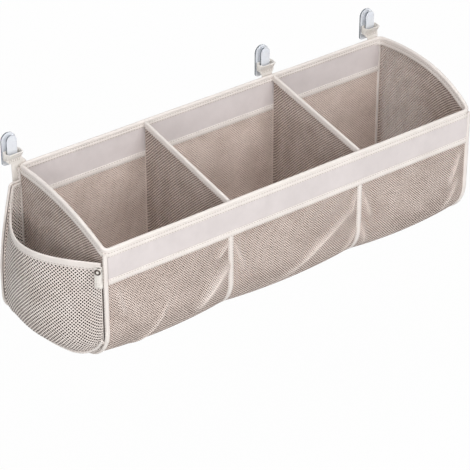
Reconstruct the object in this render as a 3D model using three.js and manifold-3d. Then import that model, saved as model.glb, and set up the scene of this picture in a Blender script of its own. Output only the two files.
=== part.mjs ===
import * as THREE from 'three';
import { mergeGeometries, mergeVertices } from 'three/addons/utils/BufferGeometryUtils.js';
import Module from 'manifold-3d';

// Wall-hung mesh organizer: a soft basket of three bays on a wire rim, hung by webbing rings on clear hooks.
// Millimetres. +X runs along the basket, +Y goes into the wall and +Z is up.
// The origin is the wall face of the middle hook's adhesive pad.

// Gap between pieces that touch
const fit = 0.3;

// Basket: rim and cross-section
const rimLength = 608;
const rimDepth = 186;
const frontDrop = 39;
const basketHeight = 208;
const frontBend = 52;
const backBend = 14;
const rimBend = 7;
const rimLead = 2;
const archBackRise = { left: 3, right: 9 };
const archFrontRise = { left: -15, right: 4 };
const archBackShare = 0.38;
const archFrontShare = 0.72;
const wireDiameter = 3;
const wirePlay = 0.4;
const bindingDiameter = 7;
const wireButtGap = 1;

// Basket: cloth bands, dividers and seams
const frontBandHeight = 48;
const backBandHeight = 50;
const clothThickness = 0.8;
const boardThickness = 1.2;
const hemHeight = 6;
const hemThickness = 0.8;
const meshThickness = 0.8;
const middleBay = 218;
const dividerBindingWidth = 4;
const dividerBindingHeight = 5;
const seamDiameter = 5.6;
const tapeWidth = 6;
const tapeThickness = 0.9;
const frontNetPitch = 21;
const endNetPitch = 34;
const dividerNetPitch = 38;
const backNetPitch = 50;
const earNetPitch = 16;
const netStrand = 5;

// Side pocket on the left end
const pocketBulge = 50;
const pocketFullest = 0.43;
const pocketTopDrop = 65;
const pocketTopDip = 3;
const pocketFloorPower = 9;
const pocketThickness = 1;
const pocketBindingHeight = 9;
const pocketBindingThickness = 2.4;
const pocketBindingSetback = 4;
const pocketInset = 6;
const earDrop = 22;
const earTopWidth = 11.5;
const earFullWidth = 32;
const earFullest = 0.75;
const pipingDiameter = 2.6;
const pipingLow = 0.82;
const pipingFront = 0.94;

// Hooks and their adhesive pads
const padWidth = 19;
const padHeight = 42;
const padThickness = 1;
const plateWidth = 22;
const plateHeight = 46;
const plateThickness = 2.2;
const plateFoot = 9;
const plateCorner = 4;
const trough = 5.5;
const floorThickness = 2.5;
const tongueWidth = 15;
const tongueHeight = 33;
const tongueThickness = 2;

// Webbing straps
const webbing = 1.4;
const ringSideRoom = 4;
const ringFrontRoom = 2;
const ringHeight = 9;
const tabHeight = 7;
const tabFoot = 14;
const tailHeight = 24;
const tailTopGap = 2;
const liftGap = 1;
const strapMargin = { left: -9.1, right: 0.9 };
const middleStrapOffset = -7.5;
const strapLean = { left: 8, middle: 2, right: 5 };

// Press-stud loop at the front left corner
const loopFromFront = 2;
const loopTopRise = 5;
const loopWidth = 9;
const loopLength = 27;
const loopStrip = 1;
const loopRoom = 3.6;
const loopTurn = -54;
const studBelowTop = 5;
const studDiameter = 8;
const studPostDiameter = 3;
const studPlate = 0.8;
const socketWall = 1.6;
const capRise = 1.4;
const capTopShare = 0.7;

// Facets
const curveSteps = 6;
const bendSteps = 7;
const archSteps = 16;
const cornerSteps = 4;
const roundSides = 8;
const wireSides = 6;
const turnedSides = 16;
const pocketColumns = 20;
const pocketRows = 10;
const pipingSteps = 16;
const earSteps = 6;

// Worked out
const halfLength = rimLength / 2;
const bindingRadius = bindingDiameter / 2;
const seamRadius = seamDiameter / 2;
const innerEnd = halfLength - seamRadius - fit;
const dividerX = middleBay / 2;
const bandHalf = boardThickness / 2 + fit + clothThickness;
const plateFront = padThickness + fit + plateThickness;
const tongueBack = plateFront + trough;
const tongueFront = tongueBack + tongueThickness;
const floorTop = plateFoot + floorThickness - plateHeight / 2;
const ringBottom = floorTop + fit;
const ringFront = tongueFront + ringFrontRoom + webbing;
const rimFromWall = tongueFront + liftGap + bindingRadius;
const rimBelowPad = bindingRadius + fit + tabHeight - ringBottom;
const strapEnd = innerEnd - tabFoot / 2;
const strapFoot = {
  left: strapMargin.left - strapEnd,
  middle: dividerX + middleStrapOffset,
  right: strapEnd - strapMargin.right,
};
const hookX = {};
for (const side of Object.keys(strapFoot)) {
  hookX[side] = strapFoot[side] - strapLean[side];
}

const X = new THREE.Vector3(1, 0, 0);
const Y = new THREE.Vector3(0, 1, 0);
const Z = new THREE.Vector3(0, 0, 1);
const facingEnd = new THREE.Matrix4().makeBasis(Y, Z, X);
const facingFront = new THREE.Matrix4().makeBasis(X, Z, Y.clone().negate());

const clearPlastic = { color: 0xdfe8ec, roughness: 0.12, metalness: 0 };
const adhesive = { color: 0xe9eae6, roughness: 0.5, metalness: 0 };
const webCloth = { color: 0xf4f1ea, roughness: 0.85, metalness: 0 };
const binding = { color: 0xf4eee2, roughness: 0.85, metalness: 0 };
const bandCloth = { color: 0xf2e9e4, roughness: 0.9, metalness: 0 };
const board = { color: 0xdedbd3, roughness: 0.6, metalness: 0 };
const netting = { color: 0xe8e2da, roughness: 0.9, metalness: 0 };
const wire = { color: 0x8e9092, roughness: 0.4, metalness: 1 };
const studMetal = { color: 0x6f6862, roughness: 0.35, metalness: 1 };

const wasm = await Module();
wasm.setup();

function solid(geometry) {
  const bare = geometry.clone();
  bare.deleteAttribute('normal');
  bare.deleteAttribute('uv');
  const merged = mergeVertices(bare, 1e-4);
  const vertProperties = new Float32Array(merged.attributes.position.array);
  const triVerts = new Uint32Array(merged.index.array);
  return new wasm.Manifold(new wasm.Mesh({ numProp: 3, vertProperties, triVerts }));
}

function surfaceOf(body) {
  const { vertProperties, triVerts } = body.getMesh();
  const geometry = new THREE.BufferGeometry();
  geometry.setAttribute('position', new THREE.BufferAttribute(vertProperties, 3));
  geometry.setIndex(new THREE.BufferAttribute(triVerts, 1));
  return geometry;
}

function joined(...geometries) {
  return surfaceOf(geometries.map(solid).reduce((body, other) => body.add(other)));
}

function piece(group, name, geometry, finish) {
  geometry.computeVertexNormals();
  const mesh = new THREE.Mesh(geometry, new THREE.MeshStandardMaterial(finish));
  mesh.name = name;
  group.add(mesh);
  return mesh;
}

function block(x0, x1, y0, y1, z0, z1) {
  const geometry = new THREE.BoxGeometry(x1 - x0, y1 - y0, z1 - z0);
  return geometry.translate((x0 + x1) / 2, (y0 + y1) / 2, (z0 + z1) / 2);
}

function slab(shape, thickness) {
  const options = { depth: thickness, bevelEnabled: false, curveSegments: curveSteps };
  return new THREE.ExtrudeGeometry(shape, options);
}

// Turns what is drawn in X and Y, with its thickness along Z, to lie in Y and Z, centred on x
function onEnd(geometry, thickness, x) {
  return geometry.applyMatrix4(facingEnd).translate(x - thickness / 2, 0, 0);
}

// Turns what is drawn in X and Y to lie in X and Z, with its back face at y
function onFront(geometry, y) {
  return geometry.applyMatrix4(facingFront).translate(0, y, 0);
}

function circle(radius, sides) {
  const points = [];
  for (let i = 0; i < sides; i += 1) {
    const turn = (i + 0.5) * 2 * Math.PI / sides;
    points.push(new THREE.Vector2(radius * Math.cos(turn), radius * Math.sin(turn)));
  }
  return points;
}

function rectangle(width, height) {
  const corners = [[-1, -1], [1, -1], [1, 1], [-1, 1]];
  return corners.map(([a, b]) => new THREE.Vector2(a * width / 2, b * height / 2));
}

// A section carried along a path. The section's first axis stays as near to across as the path allows.
function sweep(path, outline, across, bore = []) {
  const loops = bore.length ? [outline, bore.slice().reverse()] : [outline];
  const perRing = outline.length + bore.length;
  const positions = [];
  path.forEach((point, i) => {
    const ahead = path[Math.min(i + 1, path.length - 1)];
    const behind = path[Math.max(i - 1, 0)];
    const along = ahead.clone().sub(behind).normalize();
    const side = across.clone().addScaledVector(along, -across.dot(along)).normalize();
    const up = along.clone().cross(side);
    for (const corner of loops.flat()) {
      const at = point.clone().addScaledVector(side, corner.x).addScaledVector(up, corner.y);
      positions.push(at.x, at.y, at.z);
    }
  });
  const faces = [];
  for (let i = 0; i + 1 < path.length; i += 1) {
    let first = i * perRing;
    for (const loop of loops) {
      for (let k = 0; k < loop.length; k += 1) {
        const a = first + k;
        const b = first + (k + 1) % loop.length;
        faces.push(a, b, b + perRing, a, b + perRing, a + perRing);
      }
      first += loop.length;
    }
  }
  const last = (path.length - 1) * perRing;
  for (const [a, b, c] of THREE.ShapeUtils.triangulateShape(loops[0], loops.slice(1))) {
    faces.push(a, c, b, last + a, last + b, last + c);
  }
  const geometry = new THREE.BufferGeometry();
  geometry.setAttribute('position', new THREE.Float32BufferAttribute(positions, 3));
  geometry.setIndex(faces);
  return geometry;
}

// A thin curved sheet: surface(u, v) is its middle, and it has columns by rows of faces on each side.
function sheet(surface, columns, rows, thickness) {
  const positions = [];
  const step = 1e-3;
  const perSide = (columns + 1) * (rows + 1);
  for (const side of [0.5, -0.5]) {
    for (let j = 0; j <= rows; j += 1) {
      for (let i = 0; i <= columns; i += 1) {
        const u = i / columns;
        const v = j / rows;
        const alongU = surface(Math.min(u + step, 1), v).sub(surface(Math.max(u - step, 0), v));
        const alongV = surface(u, Math.min(v + step, 1)).sub(surface(u, Math.max(v - step, 0)));
        const normal = alongU.cross(alongV).normalize();
        const at = surface(u, v).addScaledVector(normal, side * thickness);
        positions.push(at.x, at.y, at.z);
      }
    }
  }
  const faces = [];
  const wall = (a, b) => faces.push(a, a + perSide, b + perSide, a, b + perSide, b);
  for (let j = 0; j < rows; j += 1) {
    for (let i = 0; i < columns; i += 1) {
      const a = j * (columns + 1) + i;
      const b = a + 1;
      const c = b + columns + 1;
      const d = a + columns + 1;
      faces.push(a, b, c, a, c, d);
      faces.push(a + perSide, c + perSide, b + perSide, a + perSide, d + perSide, c + perSide);
      if (j === 0) wall(a, b);
      if (i === columns - 1) wall(b, c);
      if (j === rows - 1) wall(c, d);
      if (i === 0) wall(d, a);
    }
  }
  const geometry = new THREE.BufferGeometry();
  geometry.setAttribute('position', new THREE.Float32BufferAttribute(positions, 3));
  geometry.setIndex(faces);
  return geometry;
}

function edgeDistance(outline, point) {
  let nearest = Infinity;
  outline.forEach((a, i) => {
    const b = outline[(i + 1) % outline.length];
    const edge = b.clone().sub(a);
    const share = THREE.MathUtils.clamp(point.clone().sub(a).dot(edge) / edge.lengthSq(), 0, 1);
    nearest = Math.min(nearest, point.distanceTo(a.clone().addScaledVector(edge, share)));
  });
  return nearest;
}

function isInside(outline, point) {
  let inside = false;
  outline.forEach((a, i) => {
    const b = outline[(i + 1) % outline.length];
    const crosses = (a.y > point.y) !== (b.y > point.y);
    if (crosses && point.x < a.x + (point.y - a.y) / (b.y - a.y) * (b.x - a.x)) inside = !inside;
  });
  return inside;
}

// Net of diamond gaps in offset rows. A gap is left out where it would come too near the outline.
function net(outline, pitch) {
  const box = new THREE.Box2().setFromPoints(outline);
  const middle = box.getCenter(new THREE.Vector2());
  const reach = pitch / 2 - netStrand * Math.SQRT1_2;
  const corners = [[reach, 0], [0, reach], [-reach, 0], [0, -reach]];
  const diamond = new THREE.Shape(corners.map(([a, b]) => new THREE.Vector2(a, b)));
  const columns = Math.ceil((box.max.x - box.min.x) / pitch);
  const rows = Math.ceil((box.max.y - box.min.y) / pitch) * 2;
  const gaps = [];
  for (let row = -rows; row <= rows; row += 1) {
    const shift = row % 2 ? 0.5 : 0;
    for (let column = -columns; column <= columns; column += 1) {
      const at = new THREE.Vector2((column + shift) * pitch, row * pitch / 2).add(middle);
      if (!isInside(outline, at) || edgeDistance(outline, at) < reach + netStrand / 2) continue;
      gaps.push(slab(diamond, 3 * meshThickness).translate(at.x, at.y, -meshThickness));
    }
  }
  const plate = slab(new THREE.Shape(outline), meshThickness);
  return gaps.length ? surfaceOf(solid(plate).subtract(solid(mergeGeometries(gaps)))) : plate;
}

// Basket cross-section in Y and Z, from the front rim down, along the bottom and up to the back rim.
// The insets move each wall towards the inside.
function crossSection(topFront, topBack, frontIn, bottomIn, backIn) {
  const path = new THREE.Path();
  const frontArcY = -rimDepth + frontBend;
  path.moveTo(-rimDepth + frontIn, topFront);
  path.lineTo(-rimDepth + frontIn, -basketHeight + frontBend);
  path.absellipse(frontArcY, -basketHeight + frontBend, frontBend - frontIn, frontBend - bottomIn,
    Math.PI, 1.5 * Math.PI);
  path.lineTo(-backBend, -basketHeight + bottomIn);
  path.absellipse(-backBend, -basketHeight + backBend, backBend - backIn, backBend - bottomIn,
    1.5 * Math.PI, 2 * Math.PI);
  path.lineTo(-backIn, topBack);
  return path.getPoints(bendSteps);
}

// End rim: an arch in Y and Z from the back rim down to the front rim
function archPoints(name) {
  return new THREE.CubicBezierCurve(
    new THREE.Vector2(0, 0),
    new THREE.Vector2(-archBackShare * rimDepth, archBackRise[name]),
    new THREE.Vector2(-archFrontShare * rimDepth, archFrontRise[name]),
    new THREE.Vector2(-rimDepth, -frontDrop),
  ).getPoints(archSteps);
}

// Rim wire round one end, from the back straight to the front straight
function endRim(name, side) {
  const clear = archPoints(name).filter(({ x }) => x < -rimBend && x > rimBend - rimDepth);
  const arch = clear.map(({ x, y }) => new THREE.Vector3(side * halfLength, x, y));
  const backStart = new THREE.Vector3(side * (halfLength - rimBend), 0, 0);
  const frontEnd = new THREE.Vector3(side * (halfLength - rimBend), -rimDepth, -frontDrop);
  const backCorner = new THREE.Vector3(side * halfLength, 0, 0);
  const frontCorner = new THREE.Vector3(side * halfLength, -rimDepth, -frontDrop);
  const intoArch = new THREE.QuadraticBezierCurve3(backStart, backCorner, arch[0]);
  const outOfArch = new THREE.QuadraticBezierCurve3(arch[arch.length - 1], frontCorner, frontEnd);
  const lead = new THREE.Vector3(-side * rimLead, 0, 0);
  return [
    backStart.clone().add(lead),
    ...intoArch.getPoints(cornerSteps),
    ...arch.slice(1, -1),
    ...outOfArch.getPoints(cornerSteps),
    frontEnd.clone().add(lead),
  ];
}

const organizer = new THREE.Group();

// Hooks: a plate on the wall, a trough and an upright tongue with an arched top
function archedPlate(width, bottom, top, corner) {
  const half = width / 2;
  const shape = new THREE.Shape();
  shape.moveTo(-half + corner, bottom);
  shape.lineTo(half - corner, bottom);
  shape.absarc(half - corner, bottom + corner, corner, -Math.PI / 2, 0);
  shape.lineTo(half, top - half);
  shape.absarc(0, top - half, half, 0, Math.PI);
  shape.lineTo(-half, bottom + corner);
  shape.absarc(-half + corner, bottom + corner, corner, Math.PI, 1.5 * Math.PI);
  return shape;
}

function addHook(side) {
  const group = new THREE.Group();
  group.position.set(hookX[side] - hookX.middle, 0, 0);
  organizer.add(group);
  const padShape = archedPlate(padWidth, -padHeight / 2, padHeight / 2, plateCorner);
  piece(group, `adhesive_pad_${side}`, onFront(slab(padShape, padThickness), 0), adhesive);
  const plateShape = archedPlate(plateWidth, -plateHeight / 2, plateHeight / 2, plateCorner);
  const plate = onFront(slab(plateShape, plateThickness), -padThickness - fit);
  const floorBottom = floorTop - floorThickness;
  const half = tongueWidth / 2;
  const plateMiddle = plateFront - plateThickness / 2;
  const floor = block(-half, half, -tongueFront + tongueThickness / 2, -plateMiddle, floorBottom, floorTop);
  const tongueShape = archedPlate(tongueWidth, floorBottom, floorTop + tongueHeight, floorThickness);
  const tongue = onFront(slab(tongueShape, tongueThickness), -tongueBack);
  piece(group, `hook_${side}`, joined(plate, floor, tongue), clearPlastic);
}
for (const side of Object.keys(hookX)) addHook(side);

const basket = new THREE.Group();
basket.position.set(-hookX.middle, -rimFromWall, -rimBelowPad);
organizer.add(basket);

// Straps: a webbing ring round the tongue, and a tab down to the back rim
function addStrap(side) {
  const group = new THREE.Group();
  group.position.set(hookX[side] - hookX.middle, 0, ringBottom);
  organizer.add(group);
  const half = tongueWidth / 2 + ringSideRoom + webbing;
  const back = -plateFront - (trough - webbing) / 2;
  const turn = (ringFront + back) / 2;
  const ring = new THREE.Shape();
  ring.moveTo(-half + turn, -ringFront);
  ring.lineTo(half - turn, -ringFront);
  ring.absarc(half - turn, -ringFront + turn, turn, -Math.PI / 2, Math.PI / 2);
  ring.lineTo(-half + turn, back);
  ring.absarc(-half + turn, -ringFront + turn, turn, Math.PI / 2, 1.5 * Math.PI);
  const hollow = new THREE.Path();
  hollow.moveTo(-half + turn, -ringFront + webbing);
  hollow.absarc(-half + turn, -ringFront + turn, turn - webbing, 1.5 * Math.PI, Math.PI / 2, true);
  hollow.lineTo(half - turn, back - webbing);
  hollow.absarc(half - turn, -ringFront + turn, turn - webbing, Math.PI / 2, -Math.PI / 2, true);
  ring.holes.push(hollow);
  const tab = new THREE.Shape();
  tab.moveTo(strapLean[side] - tabFoot / 2, -tabHeight);
  tab.lineTo(strapLean[side] + tabFoot / 2, -tabHeight);
  tab.lineTo(half - turn, ringHeight / 2);
  tab.lineTo(-half + turn, ringHeight / 2);
  tab.closePath();
  const tabSlab = onFront(slab(tab, webbing), -ringFront + webbing);
  piece(group, `strap_${side}`, joined(slab(ring, ringHeight), tabSlab), webCloth);
  const tailY = (side === 'left' ? seamRadius : bandHalf) + fit;
  const tailTop = -bindingRadius - tailTopGap;
  const tail = block(-tabFoot / 2, tabFoot / 2, tailY, tailY + webbing, tailTop - tailHeight, tailTop);
  piece(basket, `strap_tail_${side}`, tail.translate(strapFoot[side], 0, 0), webCloth);
}
for (const side of Object.keys(hookX)) addStrap(side);

// Rim: one bent wire whose ends butt at the back, inside four lengths of folded binding
const rightRim = endRim('right', 1);
const leftRim = endRim('left', -1);
const wirePath = [
  new THREE.Vector3(wireButtGap / 2, 0, 0),
  ...rightRim,
  ...leftRim.slice().reverse(),
  new THREE.Vector3(-wireButtGap / 2, 0, 0),
];
piece(basket, 'rim_wire', sweep(wirePath, circle(wireDiameter / 2, wireSides), Z), wire);
const bindingOutline = circle(bindingRadius, roundSides);
const bindingBore = circle(wireDiameter / 2 + wirePlay, wireSides);
const straightEnd = halfLength - rimBend - rimLead - fit;
for (const [name, y, z] of [['back', 0, 0], ['front', -rimDepth, -frontDrop]]) {
  const ends = [new THREE.Vector3(-straightEnd, y, z), new THREE.Vector3(straightEnd, y, z)];
  piece(basket, `rim_binding_${name}`, sweep(ends, bindingOutline, Z, bindingBore), binding);
}
piece(basket, 'rim_binding_left', sweep(leftRim, bindingOutline, Z, bindingBore), binding);
piece(basket, 'rim_binding_right', sweep(rightRim, bindingOutline, Z, bindingBore), binding);

// Cloth bands: a board between two cloths, with a hem tape along the lower edge
function addBand(name, y, facing, top, bottom, hemSide) {
  const layer = (from, thickness) => {
    const ends = [y + facing * from, y + facing * (from + thickness)].sort((a, b) => a - b);
    return block(-innerEnd, innerEnd, ends[0], ends[1], bottom, top);
  };
  const clothFrom = boardThickness / 2 + fit;
  piece(basket, `${name}_band_board`, layer(-boardThickness / 2, boardThickness), board);
  piece(basket, `${name}_band_cloth`, layer(clothFrom, clothThickness), bandCloth);
  piece(basket, `${name}_band_lining`, layer(-clothFrom - clothThickness, clothThickness), bandCloth);
  const hemFrom = y + hemSide * (bandHalf + fit);
  const hemEnds = [hemFrom, hemFrom + hemSide * hemThickness].sort((a, b) => a - b);
  const hem = block(-innerEnd, innerEnd, hemEnds[0], hemEnds[1], bottom, bottom + hemHeight);
  piece(basket, `${name}_hem_tape`, hem, binding);
}
const frontBandTop = -frontDrop - bindingRadius - fit;
const frontBandBottom = -frontDrop - frontBandHeight;
const backBandTop = -bindingRadius - fit;
const backBandBottom = -backBandHeight;
addBand('front', -rimDepth, -1, frontBandTop, frontBandBottom, -1);
addBand('back', 0, -1, backBandTop, backBandBottom, -1);

// Mesh: three front bays, the back, and the bottom that turns up to both
function addFlatMesh(name, y, x0, x1, bottom, top, pitch) {
  const corners = [[x0, bottom], [x1, bottom], [x1, top], [x0, top]];
  const outline = corners.map(([a, b]) => new THREE.Vector2(a, b));
  piece(basket, name, onFront(net(outline, pitch), y + meshThickness / 2), netting);
}
const frontMeshBottom = -basketHeight + frontBend + fit;
const bays = {
  left: [-innerEnd, -dividerX - fit / 2],
  middle: [-dividerX + fit / 2, dividerX - fit / 2],
  right: [dividerX + fit / 2, innerEnd],
};
const frontMeshTop = frontBandBottom - fit;
for (const [name, [x0, x1]] of Object.entries(bays)) {
  addFlatMesh(`front_mesh_${name}`, -rimDepth, x0, x1, frontMeshBottom, frontMeshTop, frontNetPitch);
}
const backMeshBottom = -basketHeight + backBend + fit;
addFlatMesh('back_mesh', 0, -innerEnd, innerEnd, backMeshBottom, backBandBottom - fit, backNetPitch);
const bottomTop = [-basketHeight + frontBend, -basketHeight + backBend];
const halfMesh = meshThickness / 2;
const bottomOuter = crossSection(...bottomTop, -halfMesh, -halfMesh, -halfMesh).slice(1, -1);
const bottomInner = crossSection(...bottomTop, halfMesh, halfMesh, halfMesh).slice(1, -1);
const bottomShape = new THREE.Shape([...bottomOuter, ...bottomInner.reverse()]);
piece(basket, 'bottom_mesh', onEnd(slab(bottomShape, 2 * innerEnd), 2 * innerEnd, 0), netting);

// Ends: a mesh panel inside a bound seam, under the arched rim
const seamIn = seamRadius + fit;
const endPanel = crossSection(0, 0, seamIn, seamIn, seamIn).slice(1, -1);
const archGap = bindingRadius + 2 * fit;
const frontTop = new THREE.Vector2(-rimDepth + seamIn, frontBandTop - fit);
const backTop = new THREE.Vector2(-seamIn, backBandTop - fit);
const seamSection = crossSection(frontBandTop, backBandTop, 0, 0, 0);
for (const [name, side] of [['left', -1], ['right', 1]]) {
  const x = side * halfLength;
  const archUnder = archPoints(name).map((point) => new THREE.Vector2(point.x, point.y - archGap));
  const archInside = archUnder.filter((point) => point.x < -seamIn && point.x > seamIn - rimDepth);
  const outline = [frontTop, ...endPanel, backTop, ...archInside];
  piece(basket, `end_mesh_${name}`, onEnd(net(outline, endNetPitch), meshThickness, x), netting);
  const seamPath = seamSection.map(({ x: y, y: z }) => new THREE.Vector3(x, y, z));
  piece(basket, `end_seam_${name}`, sweep(seamPath, circle(seamRadius, roundSides), X), binding);
}

// Dividers: a mesh panel with a bound top edge, and a seam tape outside the front, bottom and back mesh
const dividerIn = bandHalf + hemThickness + 2 * fit;
const dividerFoot = halfMesh + fit;
const rimSlope = frontDrop / rimDepth;
const dividerTop = (y) => rimSlope * y - dividerBindingHeight / 2 - fit;
const dividerSection = crossSection(0, 0, dividerIn, dividerFoot, dividerIn).slice(1, -1);
const dividerFrontTop = new THREE.Vector2(-rimDepth + dividerIn, frontBandTop - fit);
const dividerRimFront = -rimDepth + bindingRadius + fit;
const dividerRimBack = -bindingRadius - fit;
const dividerOutline = [
  dividerFrontTop,
  ...dividerSection,
  new THREE.Vector2(-dividerIn, dividerTop(dividerRimBack) - fit),
  new THREE.Vector2(dividerRimBack, dividerTop(dividerRimBack)),
  new THREE.Vector2(dividerRimFront, dividerTop(dividerRimFront)),
];
const tapeOut = -halfMesh - fit - tapeThickness / 2;
const tapeSection = crossSection(frontBandBottom - fit, backBandBottom - fit, tapeOut, tapeOut, tapeOut);
for (const [name, side] of [['left', -1], ['right', 1]]) {
  const x = side * dividerX;
  const panel = onEnd(net(dividerOutline, dividerNetPitch), meshThickness, x);
  piece(basket, `divider_mesh_${name}`, panel, netting);
  const edge = [dividerRimBack, dividerRimFront].map((y) => new THREE.Vector3(x, y, rimSlope * y));
  const edgeSection = rectangle(dividerBindingWidth, dividerBindingHeight);
  piece(basket, `divider_binding_${name}`, sweep(edge, edgeSection, X), binding);
  const tapePath = tapeSection.map(({ x: y, y: z }) => new THREE.Vector3(x, y, z));
  piece(basket, `seam_tape_${name}`, sweep(tapePath, rectangle(tapeWidth, tapeThickness), X), binding);
}

// Side pocket: an ear behind, a net that swells from it round to the front corner, and a bound mouth.
// The swell is the net's distance out from the end seam.
const pocketStart = halfLength + seamRadius + fit + pocketThickness / 2;
const pocketLength = rimDepth - 2 * seamRadius;
const pocketFloor = -basketHeight + seamRadius;
const earTop = -earDrop;
function fallTo(z) {
  return THREE.MathUtils.clamp((-pocketTopDrop - z) / (-pocketTopDrop - pocketFloor), 0, 1);
}
function earWidth(z) {
  const share = Math.min((earTop - z) / (earTop - pocketFloor) / earFullest, 1);
  const width = THREE.MathUtils.lerp(earTopWidth, earFullWidth, Math.sin(share * Math.PI / 2));
  return width * Math.sqrt(1 - fallTo(z) ** pocketFloorPower);
}
function pocketSwell(share, z) {
  const full = pocketBulge * Math.sqrt(1 - fallTo(z) ** pocketFloorPower);
  if (share > pocketFullest) {
    return full * Math.cos((share - pocketFullest) / (1 - pocketFullest) * Math.PI / 2);
  }
  const inside = earWidth(z) - pocketInset * (1 - fallTo(z));
  return THREE.MathUtils.lerp(inside, full, Math.sin(share / pocketFullest * Math.PI / 2));
}
function floorLift(y) {
  const frontOff = Math.max(-rimDepth + frontBend - y, 0);
  const backOff = Math.max(y + backBend, 0);
  const frontLift = frontBend - Math.sqrt(frontBend ** 2 - frontOff ** 2);
  return frontLift + backBend - Math.sqrt(backBend ** 2 - backOff ** 2);
}
function pocketSurface(u, v) {
  const share = (1 - Math.cos(Math.PI * u)) / 2;
  const y = -seamRadius - pocketLength * share;
  const top = -pocketTopDrop - pocketTopDip * Math.sin(Math.PI * share);
  const fall = Math.sin(v * Math.PI / 2);
  const flat = THREE.MathUtils.lerp(-pocketTopDrop, pocketFloor, fall);
  const z = THREE.MathUtils.lerp(top, pocketFloor + floorLift(y), fall);
  return new THREE.Vector3(-pocketStart - pocketSwell(share, flat), y, z);
}
piece(basket, 'side_pocket_net', sheet(pocketSurface, pocketColumns, pocketRows, pocketThickness), netting);
function turnAt(y) {
  return Math.acos(1 - 2 * (-y - seamRadius) / pocketLength) / Math.PI;
}
const pocketEdge = [];
const bindingLift = new THREE.Vector3(0, 0, fit + pocketBindingHeight / 2);
const bindingStart = turnAt(-seamRadius - pocketBindingSetback);
for (let i = 0; i <= pocketColumns; i += 1) {
  const u = THREE.MathUtils.lerp(bindingStart, 1, i / pocketColumns);
  pocketEdge.push(pocketSurface(u, 0).add(bindingLift));
}
const pocketBinding = rectangle(pocketBindingHeight, pocketBindingThickness);
piece(basket, 'side_pocket_binding', sweep(pocketEdge, pocketBinding, Z), binding);

// The ear: a flat net beside the end panel, behind the pocket's mouth
const earIn = -halfLength - seamRadius - fit;
const earOutline = [new THREE.Vector2(earIn, -basketHeight + backBend), new THREE.Vector2(earIn, earTop)];
const earEdge = [];
for (let i = 0; i < earSteps; i += 1) {
  const z = THREE.MathUtils.lerp(earTop, -pocketTopDrop, i / earSteps);
  earEdge.push(new THREE.Vector2(-pocketStart - earWidth(z), z));
}
for (let i = 0; i <= pocketRows; i += 1) {
  const { z } = pocketSurface(0, i / pocketRows);
  const flat = THREE.MathUtils.lerp(-pocketTopDrop, pocketFloor, Math.sin(i / pocketRows * Math.PI / 2));
  earEdge.push(new THREE.Vector2(-pocketStart - earWidth(flat), z));
}
const earBack = -seamRadius + pocketThickness / 2 + fit + meshThickness;
const ear = net([...earOutline, ...earEdge], earNetPitch);
piece(basket, 'side_pocket_ear', onFront(ear, earBack), netting);

// Piping: down the ear's outer edge, then forward along the pocket's bottom edge
const pipingRadius = pipingDiameter / 2;
function pocketNormal(u, v) {
  const step = 1e-3;
  const alongU = pocketSurface(u + step, v).sub(pocketSurface(Math.max(u - step, 0), v));
  const alongV = pocketSurface(u, v + step).sub(pocketSurface(u, v - step));
  const normal = alongU.cross(alongV).normalize();
  return normal.x < 0 ? normal : normal.negate();
}
const pipingPath = [];
const pipingBend = pocketSurface(0, pipingLow).z + pipingDiameter;
const pipingY = pipingRadius - seamRadius;
earEdge.forEach((point, i) => {
  if (point.y < pipingBend) return;
  const along = earEdge[i + 1].clone().sub(earEdge[Math.max(i - 1, 0)]).normalize();
  const out = new THREE.Vector2(along.y, -along.x).multiplyScalar(pipingRadius + 5 * fit).add(point);
  pipingPath.push(new THREE.Vector3(out.x, pipingY, out.y));
});
const pipingOut = pocketThickness / 2 + pipingRadius + 2 * fit;
for (let i = 0; i <= pipingSteps; i += 1) {
  const u = pipingFront * i / pipingSteps;
  pipingPath.push(pocketSurface(u, pipingLow).addScaledVector(pocketNormal(u, pipingLow), pipingOut));
}
piece(basket, 'side_pocket_piping', sweep(pipingPath, circle(pipingRadius, roundSides), X), binding);

// Press-stud loop: a fixed leg with a turned-up foot, and a flap that snaps onto it
const loopY = -rimDepth + seamRadius + loopFromFront;
const loop = new THREE.Group();
loop.position.copy(pocketSurface(turnAt(loopY), 0));
loop.rotation.z = THREE.MathUtils.degToRad(loopTurn);
basket.add(loop);
const legBack = -pocketBindingThickness / 2 - 2 * fit;
const legFront = legBack - loopStrip;
const flapBack = legFront - loopRoom;
const flapFront = flapBack - loopStrip;
const loopBottom = loopTopRise - loopLength;
const footRadius = (legBack - flapFront) / 2;
const footMiddle = (legBack + flapFront) / 2;
const leg = new THREE.Shape();
leg.moveTo(legBack, loopTopRise);
leg.lineTo(legFront, loopTopRise);
leg.lineTo(legFront, loopBottom);
leg.absarc(footMiddle, loopBottom, footRadius - loopStrip, 0, -Math.PI, true);
leg.lineTo(flapFront, loopBottom);
leg.absarc(footMiddle, loopBottom, footRadius, -Math.PI, 0);
leg.closePath();
piece(loop, 'snap_loop_leg', onEnd(slab(leg, loopWidth), loopWidth, 0), webCloth);
const halfLoop = loopWidth / 2;
const flap = block(-halfLoop, halfLoop, flapFront, flapBack, loopBottom + fit, loopTopRise);
piece(loop, 'snap_flap', flap, webCloth);

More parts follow.
